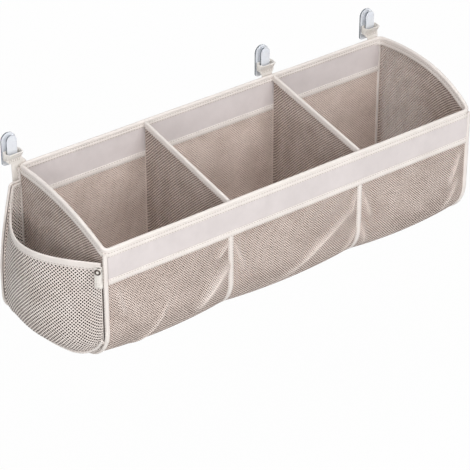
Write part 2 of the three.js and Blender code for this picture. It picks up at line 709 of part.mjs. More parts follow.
// Turned pieces of the press stud lie along the loop's own -Y axis
function turned(profile, fromY) {
  const geometry = new THREE.LatheGeometry(profile.map(([r, h]) => new THREE.Vector2(r, h)), turnedSides);
  return geometry.rotateX(Math.PI).translate(0, fromY, loopTopRise - studBelowTop);
}
const studRadius = studDiameter / 2;
const postRadius = studPostDiameter / 2;
const studReach = loopRoom - studPlate - 2 * fit;
const socketDepth = loopRoom - studPlate - 3 * fit;
const boreRadius = postRadius + fit;
const stud = [[0, 0], [studRadius, 0], [studRadius, studPlate], [postRadius, studPlate],
  [postRadius, studReach], [0, studReach]];
piece(loop, 'snap_stud', turned(stud, legFront - fit), studMetal);
const socket = [[boreRadius, 0], [boreRadius + socketWall, 0], [boreRadius + socketWall, socketDepth],
  [boreRadius, socketDepth], [boreRadius, 0]];
piece(loop, 'snap_socket', turned(socket, flapBack + fit + socketDepth), studMetal);
const cap = [[0, 0], [studRadius, 0], [studRadius, capRise / 2], [studRadius * capTopShare, capRise],
  [0, capRise]];
piece(loop, 'snap_cap', turned(cap, flapFront - fit), studMetal);

export default organizer;
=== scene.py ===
import math

import bmesh
import bpy
import numpy as np
from mathutils import Matrix, Vector


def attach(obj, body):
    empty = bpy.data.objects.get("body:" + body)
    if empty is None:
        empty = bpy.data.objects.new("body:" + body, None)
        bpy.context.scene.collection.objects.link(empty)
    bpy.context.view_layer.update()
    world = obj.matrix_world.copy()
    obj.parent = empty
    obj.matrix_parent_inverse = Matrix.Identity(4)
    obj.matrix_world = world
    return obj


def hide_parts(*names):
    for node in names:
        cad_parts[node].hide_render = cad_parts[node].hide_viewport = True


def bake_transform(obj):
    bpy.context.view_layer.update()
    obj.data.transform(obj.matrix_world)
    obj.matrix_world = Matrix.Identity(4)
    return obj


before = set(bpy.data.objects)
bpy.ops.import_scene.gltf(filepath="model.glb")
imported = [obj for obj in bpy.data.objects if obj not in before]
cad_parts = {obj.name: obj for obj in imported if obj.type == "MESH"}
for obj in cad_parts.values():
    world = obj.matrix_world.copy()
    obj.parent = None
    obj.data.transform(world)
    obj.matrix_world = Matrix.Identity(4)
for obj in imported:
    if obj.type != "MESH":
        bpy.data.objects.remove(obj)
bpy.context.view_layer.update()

mm = 0.001
hair = 1e-6  # points nearer than this are one point
quarter = math.pi / 2
basketPlace = np.array((-99.5, -15.5, -22.0))  # middle of the back rim in the shared frame, mm

# the basket's own sizes in mm: x along it, y = 0 and z = 0 on the back rim
basket = {
    "halfLength": 304.0, "innerEnd": 300.9, "dividerX": 109.0, "depth": 186.0, "height": 208.0,
    "frontDrop": 39.0, "frontBend": 52.0, "backBend": 14.0, "cornerBend": 7.0, "seamRadius": 2.8,
    "bandTop": -3.0, "frontHem": -87.0, "backHem": -50.0,
    "archShares": (0.38, 0.72),  # where along the depth the arch of each end is pulled
}
depth, height, frontDrop = basket["depth"], basket["height"], basket["frontDrop"]
frontHem, backHem = basket["frontHem"], basket["backHem"]
frontBend, backBend = basket["frontBend"], basket["backBend"]
endSides = {"left": -1, "right": 1}
archRise = {"left": (3.0, -15.0), "right": (9.0, 4.0)}  # back and front pull of each end's arch

# camera and light come first, so that every look is from the same place
view = {
    "place": (-1.6916, -2.1157, 1.3414), "turn": (59.08, 0.0, -37.91), "lens": 168.5, "floor": -0.62,
    "floorWhite": 0.97,  # share of the floor that looks plain white, the rest keeps the shadow
    "roomLight": (0.08, 0.5),  # from straight below and from straight above
}
# place, aim, size in metres and watts
lamps = {
    "topSoftbox": ((-0.7, -0.6, 1.5), (-0.1, -0.1, -0.1), 1.3, 11),
    "leftSoftbox": ((-1.9, -1.3, 0.4), (-0.15, -0.1, -0.12), 1.0, 13),
    "frontSoftbox": ((0.1, -2.2, 0.8), (-0.1, -0.1, -0.12), 1.2, 27),
    "backSoftbox": ((1.3, 1.9, 0.7), (-0.1, -0.1, -0.12), 1.4, 20),
}


def setStage():
    scene = bpy.context.scene
    scene.view_settings.view_transform = "Standard"
    camera = bpy.data.objects.new("photoCamera", bpy.data.cameras.new("photoCamera"))
    scene.collection.objects.link(camera)
    camera.location = view["place"]
    camera.rotation_euler = [math.radians(angle) for angle in view["turn"]]
    camera.data.lens = view["lens"]
    camera.data.sensor_width = 36
    camera.data.clip_end = 50
    scene.camera = camera
    for name, (place, aim, size, watts) in lamps.items():
        data = bpy.data.lights.new(name, "AREA")
        data.size, data.energy = size, watts
        lamp = bpy.data.objects.new(name, data)
        scene.collection.objects.link(lamp)
        lamp.location = place
        lamp.rotation_euler = (Vector(aim) - Vector(place)).to_track_quat("-Z", "Y").to_euler()


def plug(tree, node, links):
    for key, source in links.items():
        tree.links.new(source, node.inputs[key])


# tones are the places and colours of a ramp
def addNode(tree, kind, values=None, links=None, tones=(), **settings):
    node = tree.nodes.new(kind)
    for key, value in settings.items():
        setattr(node, key, value)
    for key, value in (values or {}).items():
        node.inputs[key].default_value = value
    for step, (position, tone) in enumerate(tones):
        element = node.color_ramp.elements[step]
        element.position, element.color = position, fromHex(tone)
    plug(tree, node, links or {})
    return node


def fromHex(text):
    channels = [int(text[i:i + 2], 16) / 255 for i in (1, 3, 5)]
    linear = [c / 12.92 if c <= 0.04045 else ((c + 0.055) / 1.055) ** 2.4 for c in channels]
    return (*linear, 1.0)


def startMaterial(name, **sockets):
    material = bpy.data.materials.new(name)
    material.use_nodes = True
    tree = material.node_tree
    shader = tree.nodes["Principled BSDF"]
    for key, value in sockets.items():
        shader.inputs[key.replace("_", " ")].default_value = value
    place = addNode(tree, "ShaderNodeTexCoord").outputs["Object"]
    return material, tree, shader, place


clothLook = {"threadShare": 0.35, "tonesAt": (0.35, 0.8)}


# woven, knitted or spun: crossed threads for the bump, a slow change of shade,
# and, where asked, a painted highlight along the net's folds
def clothMaterial(name, colour, shade, thread, relief, roughness, sheen, paintedFoldHighlight=None):
    material, tree, shader, place = startMaterial(
        name, Roughness=roughness, Sheen_Weight=sheen, Sheen_Roughness=0.5, Specular_IOR_Level=0.25)
    sets = []
    for direction in ("X", "Z"):
        # bands repeat every pi / 10 / scale metres
        wave = addNode(tree, "ShaderNodeTexWave",
                       {"Scale": math.pi / 10 / (thread * mm), "Distortion": 0.6},
                       {"Vector": place}, wave_type="BANDS", bands_direction=direction)
        sets.append(wave.outputs["Fac"])
    weave = addNode(tree, "ShaderNodeMath", None, {0: sets[0], 1: sets[1]}, operation="MULTIPLY")
    patches = addNode(tree, "ShaderNodeTexNoise", {"Scale": 28.0, "Detail": 5.0, "Roughness": 0.6},
                      {"Vector": place})
    amount = addNode(tree, "ShaderNodeMath", {1: clothLook["threadShare"]},
                     {0: weave.outputs[0], 2: patches.outputs["Fac"]}, operation="MULTIPLY_ADD")
    ramp = addNode(tree, "ShaderNodeValToRGB", None, {"Fac": amount.outputs[0]},
                   zip(clothLook["tonesAt"], (shade, colour)))
    bump = addNode(tree, "ShaderNodeBump", {"Strength": 0.5, "Distance": relief * mm},
                   {"Height": weave.outputs[0]})
    tone = ramp.outputs["Color"]
    if paintedFoldHighlight:
        drawn = addNode(tree, "ShaderNodeAttribute", attribute_name="paintedFoldHighlight")
        mixed = addNode(tree, "ShaderNodeMix", {7: fromHex(paintedFoldHighlight)},
                        {0: drawn.outputs["Fac"], 6: tone}, data_type="RGBA")
        tone = mixed.outputs[2]
    plug(tree, shader, {"Base Color": tone, "Normal": bump.outputs["Normal"]})
    return material


# moulded, drawn or plated: two tones and a changing gloss in grains of one size
def mottledMaterial(name, dark, light, grain, gloss, **sockets):
    material, tree, shader, place = startMaterial(name, **sockets)
    spots = addNode(tree, "ShaderNodeTexNoise", {"Scale": 1 / (grain * mm), "Detail": 4.0},
                    {"Vector": place})
    tint = addNode(tree, "ShaderNodeValToRGB", None, {"Fac": spots.outputs["Fac"]},
                   ((0, dark), (1, light)))
    sheen = addNode(tree, "ShaderNodeMapRange", {"To Min": gloss[0], "To Max": gloss[1]},
                    {"Value": spots.outputs["Fac"]})
    plug(tree, shader, {"Base Color": tint.outputs["Color"], "Roughness": sheen.outputs["Result"]})
    return material


# real material, colour, shade, thread spacing and bump in mm, roughness, sheen, painted fold highlight
cloths = {
    # polyester bias tape, pressed: clean matt white with a fine weave, drawn at 1 mm to show
    "biasTape": ("polyesterBiasTape", "#E8E1DC", "#DCD4CF", 1.0, 0.25, 0.8, 0.15),
    # polyester oxford cloth over a board: flat off-white, with a plain weave drawn at 1.2 mm to show
    "bandCloth": ("polyesterOxford", "#D7CFCE", "#CCC4C3", 1.2, 0.2, 0.85, 0.2),
    # polypropylene webbing: a heavy weave at 1.6 mm, with a soft off-white gloss
    "webbing": ("polypropyleneWebbing", "#EFEBE6", "#DFD9D2", 1.6, 0.5, 0.65, 0.1),
    # warp-knit polyester mesh: matt yarn, painted shade on each hole's walls, painted highlight on folds
    "fineKnit": ("warpKnitPolyester", "#E7D7CE", "#CEBCB2", 0.9, 0.15, 0.8, 0.2, "#FBF1EB"),
    "fineKnitLoops": ("warpKnitLoops", "#64534A", "#493B34", 0.9, 0.15, 0.9, 0.1, "#E2D2C9"),
    # thicker knitted pocket net: whiter, springy yarn, and a darker painted shade on each hole's walls
    "coarseKnit": ("raschelPolyester", "#F8EEE8", "#E4D7CF", 1.2, 0.25, 0.8, 0.2),
    "coarseKnitLoops": ("raschelLoops", "#3A2D27", "#281F1A", 1.2, 0.25, 0.9, 0.1),
    # spun polyester sewing thread, painted greyer than the tape: a painted shade for the shadow along
    # each seam
    "thread": ("spunPolyesterThreadPaintedShade", "#B3A89F", "#94897F", 0.6, 0.1, 0.6, 0.1),
}
metal = {"Metallic": 1.0}
clear = {"IOR": 1.45, "Transmission_Weight": 0.3}
# real material, dark and light tone, grain in mm, gloss, and the sockets that differ
mouldings = {
    # extruded polyethylene board: milky, slightly mottled
    "board": ("polyethyleneBoard", "#D6D2C8", "#E6E3DB", 11.0, (0.45, 0.55), {}),
    # zinc-plated spring steel: grey metal with a dull, uneven plating
    "wire": ("zincPlatedSteel", "#9A9C9D", "#B2B4B5", 2.5, (0.25, 0.45), metal),
    # black-nickel plated brass, pressed: dark, warm, and shinier in places
    "snapMetal": ("blackNickelBrass", "#453E3A", "#6B615B", 2.0, (0.2, 0.4), metal),
    # bright nickel in the cap's hollow: pale, with an uneven shine
    "snapCentre": ("brightNickel", "#D8D2CB", "#EEEAE4", 1.4, (0.25, 0.4), metal),
    # moulded polystyrene: clear and smooth with a cold tint; its edges carry a painted dark grey shade
    "hookClear": ("mouldedPolystyrene", "#EAEFF8", "#FBFCFE", 7.0, (0.04, 0.12), clear),
    "hookPaintedEdgeShade": ("polystyreneEdge", "#4E555D", "#98A0A8", 3.5, (0.05, 0.2), clear),
}
foam = {"cell": 1.5, "dent": 0.2, "tones": ((0, "#D9DCDA"), (1, "#EEF0EC"))}


def makeFinishes():
    finishes = {key: clothMaterial(*values) for key, values in cloths.items()}
    for key, (*values, sockets) in mouldings.items():
        finishes[key] = mottledMaterial(*values, **sockets)
    # acrylic foam tape: soft grey-white with fine closed cells, drawn at 1.5 mm to show
    material, tree, shader, place = startMaterial("acrylicFoam", Roughness=0.7)
    cells = addNode(tree, "ShaderNodeTexVoronoi", {"Scale": 1 / (foam["cell"] * mm)}, {"Vector": place})
    tint = addNode(tree, "ShaderNodeValToRGB", None, {"Fac": cells.outputs["Distance"]}, foam["tones"])
    dents = addNode(tree, "ShaderNodeBump", {"Strength": 0.3, "Distance": foam["dent"] * mm},
                    {"Height": cells.outputs["Distance"]})
    plug(tree, shader, {"Base Color": tint.outputs["Color"], "Normal": dents.outputs["Normal"]})
    finishes["adhesiveFoam"] = material
    return finishes


# camera, glossy and clear rays see plain white; every other ray sees the lit side
def whiteToTheEye(tree):
    rays = addNode(tree, "ShaderNodeLightPath").outputs
    seen = rays["Is Camera Ray"]
    for kind in ("Is Glossy Ray", "Is Transmission Ray"):
        either = addNode(tree, "ShaderNodeMath", None, {0: seen, 1: rays[kind]}, operation="MAXIMUM")
        seen = either.outputs[0]
    return seen


# by this share the eye sees plain white instead of the lit side
def showWhite(tree, share, lit, kind, output):
    white = addNode(tree, kind, {"Color": fromHex("#FFFFFF"), "Strength": 1.0})
    both = addNode(tree, "ShaderNodeMixShader", None, {0: share, 1: lit, 2: white.outputs[0]})
    tree.links.new(both.outputs[0], tree.nodes[output].inputs["Surface"])


def makeRoom():
    world = bpy.data.worlds.new("paleRoom")
    world.use_nodes = True
    bpy.context.scene.world = world
    tree = world.node_tree
    room = tree.nodes["Background"]
    room.inputs["Color"].default_value = fromHex("#FFFFFF")
    ray = addNode(tree, "ShaderNodeTexCoord").outputs["Generated"]
    facing = addNode(tree, "ShaderNodeSeparateXYZ", None, {0: ray})
    below, above = view["roomLight"]
    level = addNode(tree, "ShaderNodeMapRange",
                    {"From Min": -1.0, "From Max": 1.0, "To Min": below, "To Max": above},
                    {"Value": facing.outputs["Z"]})
    tree.links.new(level.outputs["Result"], room.inputs["Strength"])
    showWhite(tree, whiteToTheEye(tree), room.outputs[0], "ShaderNodeBackground", "World Output")
    floor = addShape("paleFloor", bpy.ops.mesh.primitive_plane_add, size=14,
                     location=(0, 0, view["floor"]))
    material = mottledMaterial("paintedFloor", "#D2D2D1", "#D8D8D7", 330.0, (0.85, 0.95))
    tree = material.node_tree
    share = addNode(tree, "ShaderNodeMath", {1: view["floorWhite"]}, {0: whiteToTheEye(tree)},
                    operation="MULTIPLY")
    paint = tree.nodes["Principled BSDF"].outputs[0]
    showWhite(tree, share.outputs[0], paint, "ShaderNodeEmission", "Material Output")
    floor.data.materials.append(material)


def pick(obj):
    if bpy.context.object and bpy.context.object.mode == "EDIT":
        bpy.ops.object.mode_set(mode="OBJECT")
    bpy.ops.object.select_all(action="DESELECT")
    if obj:
        obj.select_set(True)
        bpy.context.view_layer.objects.active = obj


def addShape(name, add, **settings):
    pick(None)
    add(**settings)
    bpy.context.object.name = name
    return bpy.context.object


def edit(obj, kind="FACE", action="SELECT"):
    pick(obj)
    bpy.ops.object.mode_set(mode="EDIT")
    bpy.ops.mesh.select_mode(type=kind)
    bpy.ops.mesh.select_all(action=action)


def choose(obj, kind, wanted):
    edit(obj, kind, "DESELECT")
    shape = bmesh.from_edit_mesh(obj.data)
    for item in shape.edges if kind == "EDGE" else shape.faces:
        item.select_set(wanted(item))
    bmesh.update_edit_mesh(obj.data)


def finishEdit():
    bpy.ops.object.mode_set(mode="OBJECT")


def applyModifier(obj, kind, **settings):
    pick(obj)
    modifier = obj.modifiers.new(kind.title(), kind)
    for key, value in settings.items():
        setattr(modifier, key, value)
    bpy.ops.object.modifier_apply(modifier=modifier.name)


def readPlaces(obj):
    places = np.empty(len(obj.data.vertices) * 3)
    obj.data.vertices.foreach_get("co", places)
    return places.reshape(-1, 3)


def writePlaces(obj, places):
    obj.data.vertices.foreach_set("co", np.ravel(places))
    obj.data.update()


def inBasket(x, y, z):
    x, y, z = np.broadcast_arrays(x, y, z)
    return (np.stack((x, y, z), axis=-1) + basketPlace) * mm


def unit(vectors):
    return vectors / np.linalg.norm(vectors, axis=-1, keepdims=True)


# across a flat line, towards -y where it runs down
def outwardOf(line):
    along = unit(np.gradient(line, axis=0))
    return np.column_stack((along[:, 1], -along[:, 0]))


# nothing at 0 and at 1, full at a half
def hump(share):
    return np.sin(math.pi * np.clip(share, 0, 1))


def runLength(points):
    return np.concatenate(([0], np.cumsum(np.linalg.norm(np.diff(points, axis=0), axis=1))))


def refinish(node, finish):
    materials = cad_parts[node].data.materials
    materials.clear()
    materials.append(finishes[finish])


def dress(obj, finish, body=None, nodes=(), angle=60):
    if not obj.data.materials:
        obj.data.materials.append(finishes[finish])
    pick(obj)
    bpy.ops.object.shade_smooth_by_angle(angle=math.radians(angle))
    if body:
        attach(obj, body)
    if nodes:
        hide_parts(*nodes)


# a tape: its section is drawn, extruded straight, cut into steps and laid along its path
# drop stretches what hangs below the path, one value for each step
def layTape(name, path, section, up=(0, 0, 1), closed=False, drop=None):
    path = np.asarray(path, dtype=float)
    steps = len(path) - 1
    tape = addShape(name, bpy.ops.mesh.primitive_circle_add, vertices=len(section), fill_type="NGON")
    for vertex, (across, rise) in zip(tape.data.vertices, section):
        vertex.co = (0, across * mm, rise * mm)
    edit(tape)
    bpy.ops.mesh.extrude_region_move(TRANSFORM_OT_translate={"value": (1, 0, 0)})
    choose(tape, "EDGE", lambda edge: abs(edge.verts[0].co.x - edge.verts[1].co.x) > 0.5)
    if steps > 1:
        bpy.ops.mesh.subdivide(number_cuts=steps - 1)
    if closed:
        choose(tape, "FACE", lambda face: abs(face.normal.x) > 0.9)
        bpy.ops.mesh.delete(type="ONLY_FACE")
    finishEdit()
    if closed:
        along = np.roll(path[:-1], -1, axis=0) - np.roll(path[:-1], 1, axis=0)
        along = unit(np.vstack((along, along[:1])))
    else:
        along = unit(np.gradient(path, axis=0))
    side = unit(np.cross(up, along))
    rise = np.cross(along, side)
    places = readPlaces(tape)
    ring = np.rint(places[:, 0] * steps).astype(int)
    lift = places[:, 2:3]
    if drop is not None:
        lift = np.where(lift < 0, lift * drop[ring][:, None], lift)
    writePlaces(tape, path[ring] + side[ring] * places[:, 1:2] + rise[ring] * lift)
    edit(tape)
    bpy.ops.mesh.remove_doubles(threshold=hair)
    bpy.ops.mesh.select_all(action="SELECT")
    bpy.ops.mesh.normals_make_consistent(inside=False)
    finishEdit()
    return tape


def bindTape(name, path, section, *nodes, **settings):
    dress(layTape(name, path, section, **settings), "biasTape", "basket", nodes)


# part of a circle
def arc(x, z, radius, turns):
    return [(x + radius * math.cos(turn), z + radius * math.sin(turn)) for turn in turns]


# sections in mm, across the tape and up: folded over an edge, flat with soft edges, and round
def bothHalves(points):
    return points + [(-across, rise) for across, rise in reversed(points[:-1])]


def foldedSection(half, gap, top, bottom, nip=0.2):
    turns = np.radians((0, 22.5, 45, 67.5, 90))
    outer = [(half - nip, bottom), (half, (bottom + top - half) / 2)] + arc(0, top - half, half, turns)
    inner = [(gap, bottom)] + arc(0, top - half, gap, turns)
    return bothHalves(outer) + bothHalves(inner)[::-1]


def flatSection(thick, wide, softness=0.35):
    soft = softness * min(thick, wide)
    across, rise = thick / 2, wide / 2
    right = [(across - soft, -rise), (across, soft - rise), (across, rise - soft), (across - soft, rise)]
    return right + [(-a, -r) for a, r in right]


def roundSection(radius, sides=12):
    return arc(0, 0, radius, [2 * math.pi * step / sides for step in range(sides)])


# knitted net, flat: a grid is poked, its own lines dissolve to leave diamonds, and each is opened
def knitNet(name, wide, tall, cell, strand):
    net = plainSheet(name, wide, tall, cell)
    corners = len(net.data.vertices)
    edit(net)
    bpy.ops.mesh.poke()
    choose(net, "EDGE", lambda edge: len(edge.link_faces) == 2
           and max(vertex.index for vertex in edge.verts) < corners)
    bpy.ops.mesh.dissolve_edges(use_verts=False)
    edit(net)
    bpy.ops.mesh.inset(thickness=strand / 2 * mm, use_individual=True)
    bpy.ops.mesh.delete(type="FACE")
    finishEdit()
    return net


def plainSheet(name, wide, tall, step):
    columns, rows = max(2, round(wide / step)), max(2, round(tall / step))
    cloth = addShape(name, bpy.ops.mesh.primitive_grid_add, x_subdivisions=columns, y_subdivisions=rows,
                     size=1)
    writePlaces(cloth, (readPlaces(cloth) + (0.5, 0.5, 0)) * (wide * mm, tall * mm, 1))
    return cloth


# moves a flat sheet's points onto its real shape, then gives it its thickness
def laySheet(cloth, lay, thickness):
    places = readPlaces(cloth) / mm
    writePlaces(cloth, lay(*places[:, :2].T))
    # the walls round each hole take the second slot, where the nets carry a painted shade
    applyModifier(cloth, "SOLIDIFY", thickness=thickness * mm, offset=0, use_even_offset=False,
                  material_offset_rim=1)


# stitches: one small spindle, copied along each seam line on the outer face of the cloth
def sewLines(name, lines, body="basket", stitch=2.8, every=4.2, thick=0.75, flatness=0.7):
    thread = addShape(name, bpy.ops.mesh.primitive_uv_sphere_add, segments=6, ring_count=4, radius=0.5)
    one = readPlaces(thread)[:, [2, 0, 1]] * (stitch * mm, thick * mm, thick * flatness * mm)
    faces = [list(polygon.vertices) for polygon in thread.data.polygons]
    allPlaces, allFaces = [], []
    for path, outward in lines:
        path = np.asarray(path, dtype=float)
        outward = np.broadcast_to(np.asarray(outward, dtype=float), path.shape)
        run = runLength(path)
        count = int(run[-1] / (every * mm))
        for step in range(count):
            middle = (step + 0.5) * run[-1] / count
            near = [max(middle - mm, 0), middle, min(middle + mm, run[-1])]
            spots = np.array([[np.interp(at, run, path[:, k]) for k in range(3)] for at in near])
            lift = np.array([np.interp(middle, run, outward[:, k]) for k in range(3)])
            along = unit(spots[2] - spots[0])
            lift = unit(lift - along * lift.dot(along))
            first = len(allPlaces) * len(one)
            allPlaces.append(spots[1] + one @ np.array((along, np.cross(lift, along), lift)))
            allFaces.extend([first + index for index in face] for face in faces)
    thread.data = bpy.data.meshes.new(name)
    thread.data.from_pydata(np.vstack(allPlaces).tolist(), [], allFaces)
    dress(thread, "thread", body)


# where the basket's walls run, in basket mm: down the front, under, and up the back
def sectionPoints(topFront, topBack, out=0.0, step=3.0):
    frontRadius, backRadius = frontBend + out, backBend + out
    count = max(2, int((topFront + height - frontBend) / step))
    levels = np.linspace(topFront, frontBend - height, count, endpoint=False)
    parts = [(-depth - out, z) for z in levels]
    turns = np.linspace(2 * quarter, 3 * quarter, int(frontRadius * quarter / step), endpoint=False)
    parts += arc(frontBend - depth, frontBend - height, frontRadius, turns)
    under = np.linspace(frontBend - depth, -backBend, 40, endpoint=False)
    parts += [(y, -height - out) for y in under]
    turns = np.linspace(3 * quarter, 4 * quarter, 9, endpoint=False)
    parts += arc(-backBend, backBend - height, backRadius, turns)
    count = max(2, int((topBack + height - backBend) / step))
    parts += [(out, z) for z in np.linspace(backBend - height, topBack, count)]
    return np.array(parts)


def archPoints(side, steps=44):
    backRise, frontRise = archRise[side]
    backShare, frontShare = basket["archShares"]
    corners = np.array([(0, 0), (-backShare * depth, backRise), (-frontShare * depth, frontRise),
                        (-depth, -frontDrop)])
    t = np.linspace(0, 1, steps + 1)[:, None]
    return ((1 - t) ** 3 * corners[0] + 3 * (1 - t) ** 2 * t * corners[1]
            + 3 * (1 - t) * t ** 2 * corners[2] + t ** 3 * corners[3])


def cornerCurve(start, corner, end, steps=8):
    t = np.linspace(0, 1, steps + 1)[:, None]
    return (1 - t) ** 2 * start + 2 * (1 - t) * t * corner + t ** 2 * end


def endRim(side):
    sign = endSides[side]
    bend = basket["cornerBend"]
    x = sign * basket["halfLength"]
    arch = archPoints(side)
    arch = arch[(arch[:, 0] < -bend) & (arch[:, 0] > bend - depth)]
    arch = np.column_stack((np.full(len(arch), x), arch))
    inner = x - sign * bend
    into = cornerCurve((inner, 0, 0), (x, 0, 0), arch[0])
    out = cornerCurve(arch[-1], (x, -depth, -frontDrop), (inner, -depth, -frontDrop))
    return np.vstack((into, arch[1:-1], out))


# how far the floor has risen at this depth, from its bends at the front and back
def floorLift(y):
    lift = 0
    for bend, off in ((frontBend, -depth + frontBend - y), (backBend, y + backBend)):
        lift = lift + bend - np.sqrt(np.maximum(bend ** 2 - np.maximum(off, 0) ** 2, 0))
    return lift


setStage()
makeRoom()
finishes = makeFinishes()
print("stage, light and finishes set")

# rim: one tape folded over the wire all the way round, sewn under the wire and near its lower edge
rimTape = {
    "roll": 2.7, "gap": 1.95, "groove": (2.2, -3.7), "underGroove": 1.3,
    "flap": 2.6, "bottom": -9.5, "softEdge": (0.3, 1.2),
    "backDrop": 0.72,  # the back's flap is shorter
    "step": 8.0,
    "waver": (0.35, 37.0, 300.0),  # hand-sewn: its height, its length and where it dies out
    "stitches": ((2.25, -3.7), (2.6, -8.5)),
}


def rimSection():
    grooveHalf, grooveZ = rimTape["groove"]
    flap, bottom, gap = rimTape["flap"], rimTape["bottom"], rimTape["gap"]
    nip, tall = rimTape["softEdge"]
    outer = [(flap - nip, bottom), (flap, bottom + tall), (flap, grooveZ - rimTape["underGroove"]),
             (grooveHalf, grooveZ)] + arc(0, 0, rimTape["roll"], np.radians((-32, -10, 15, 40, 65, 90)))
    inner = [(gap, bottom), (gap, 0.0)] + arc(0, 0, gap, np.radians((30, 60, 90)))
    return bothHalves(outer) + bothHalves(inner)[::-1]


def makeRim():
    right, left = endRim("right"), endRim("left")[::-1]
    end = basket["halfLength"] - basket["cornerBend"]
    spread = np.linspace(-end, end, int(2 * end / rimTape["step"]))
    zero = np.zeros_like(spread)
    back = np.column_stack((spread, zero, zero))
    front = np.column_stack((spread[::-1], zero - depth, zero - frontDrop))
    loop = np.vstack((back, right[1:], front[1:], left[1:-1], back[:1]))
    high, long, far = rimTape["waver"]
    loop[:, 2] += high * np.sin(loop[:, 0] / long) * np.sin(loop[:, 0] / far * math.pi)
    drop = np.ones(len(loop))
    drop[:len(back)] = drop[-1] = rimTape["backDrop"]
    nodes = [f"rim_binding_{name}" for name in ("back", "front", "left", "right")]
    bindTape("rimBinding", (loop + basketPlace) * mm, rimSection(), *nodes, closed=True, drop=drop)
    lines = []
    for part, share in ((back, rimTape["backDrop"]), (right, 1), (front, 1), (left, 1)):
        along = unit(np.gradient(part, axis=0))
        side = unit(np.cross((0, 0, 1.0), along))
        for off, low in rimTape["stitches"]:
            down = np.cross(along, side) * low * share
            for face in (1, -1):
                lines.append(((part + down + face * side * off + basketPlace) * mm, face * side))
    sewLines("rimStitches", lines)


makeRim()
print("rim sewn")

# cloth bands: an outer cloth and a lining over the board, and a hem tape along the lower edge
bands = {
    # y, top and bottom of each
    "front": (-depth, basket["bandTop"] - frontDrop, frontHem),
    "back": (0.0, basket["bandTop"], backHem),
    "clothOff": 1.3, "clothThick": 0.8, "clothStep": 3.0, "waver": 0.5, "waveShare": 0.4,
    "waves": ((1.0, 23.0, 0.0, 0.6), (0.7, 51.0, 1.1, 0.0)),  # share, length, start and lean of each
    "pucker": 0.22, "puckerLong": 2.1, "drift": (2.0, 47.0),
    "seams": ((10.0, 5.0), (8.0, 4.0)),  # low and high: how far from its edge, and its reach
    "hemWide": 8.6, "hemThick": 1.3, "hemBelow": 1.0, "hemOff": 0.05, "hemStitches": (-3.1, 3.1),
}


def makeBand(name):
    y, top, bottom = bands[name]
    wide = 2 * basket["innerEnd"]
    tall = top - bottom
    drift, driftLong = bands["drift"]
    (low, lowReach), (high, highReach) = bands["seams"]
    for layer, facing in (("cloth", -1), ("lining", 1)):
        def lay(u, v):
            x = u - wide / 2
            wave = sum(share * np.sin(x / long + start + lean * v / tall)
                       for share, long, start, lean in bands["waves"])
            puff = hump(v / tall) * bands["waver"] * (1 - bands["waveShare"] + bands["waveShare"] * wave)
            sewn = np.exp(-((v - low) / lowReach) ** 2) + np.exp(-((v - tall + high) / highReach) ** 2)
            ripple = np.sin(x / bands["puckerLong"] + drift * np.sin(x / driftLong))
            puff = puff + bands["pucker"] * sewn * ripple
            return inBasket(x, y + facing * (bands["clothOff"] + puff), bottom + v)
        cloth = plainSheet(f"{name}Band{layer.title()}", wide, tall, bands["clothStep"])
        laySheet(cloth, lay, bands["clothThick"])
        dress(cloth, "bandCloth", "basket", [f"{name}_band_{layer}"])
    hemY = y - bands["clothOff"] - bands["clothThick"] / 2 - bands["hemThick"] / 2 - bands["hemOff"]
    hemZ = bottom + bands["hemWide"] / 2 - bands["hemBelow"]
    spread = np.linspace(-wide / 2, wide / 2, 80)
    section = flatSection(bands["hemThick"], bands["hemWide"])
    bindTape(f"{name}HemTape", inBasket(spread, hemY, hemZ), section, f"{name}_hem_tape")
    faceY = hemY - bands["hemThick"] / 2
    lines = [(inBasket(spread, faceY, hemZ + off), (0, -1, 0)) for off in bands["hemStitches"]]
    sewLines(f"{name}HemStitches", lines)


for name in ("front", "back"):
    makeBand(name)
    refinish(f"{name}_band_board", "board")
refinish("rim_wire", "wire")
print("bands sewn")

# mesh walls: in each bay the front, the floor and the back follow one line and belly a little
mesh = {
    "fine": (3.7, 0.85), "dense": (3.7, 1.6), "thick": 1.25,  # cell and strand of each knit
    "frontBelly": 6.0, "floorBelly": 3.5, "backBelly": 2.0,
    "frontReach": 150.0, "floorFrom": 90.0,  # where the front's belly ends and the floor's begins
    "acrossPower": 0.7, "runPower": 0.8,  # below 1 it is full sooner
    # pale and palest: the width and the full fold height of the painted highlight along each fold
    "gather": 0.6, "sewnEdge": 8.0, "pale": 0.8, "palest": 4.0,  # how a fold draws the net in and pales
    "hemGap": 0.2, "backGap": 0.3, "step": 2.0,
}
wall, divider = basket["innerEnd"], basket["dividerX"]
bays = {"left": (-wall, -divider), "middle": (-divider, divider), "right": (divider, wall)}
# folds pulled in the mesh: from (x, run) to (x, run), height and width, in mm
folds = {
    "left": [(-110, 6, -132, 28, 2.8, 5.0), (-107, 38, -168, 92, 4.0, 11.5),
             (-210, 56, -258, 122, 2.6, 4.5), (-288, 8, -276, 56, 1.4, 5.0)],
    "middle": [(104, 8, 92, 44, 2.4, 5.0), (103, 30, -26, 100, 3.2, 8.0),
               (106, 62, 84, 104, 2.4, 6.0), (-104, 10, -86, 60, 2.2, 5.0)],
    "right": [(114, 12, 130, 58, 2.4, 5.0), (112, 60, 126, 104, 2.4, 6.0),
              (294, 8, 270, 62, 2.8, 6.0), (290, 50, 264, 100, 2.4, 6.0)],
}
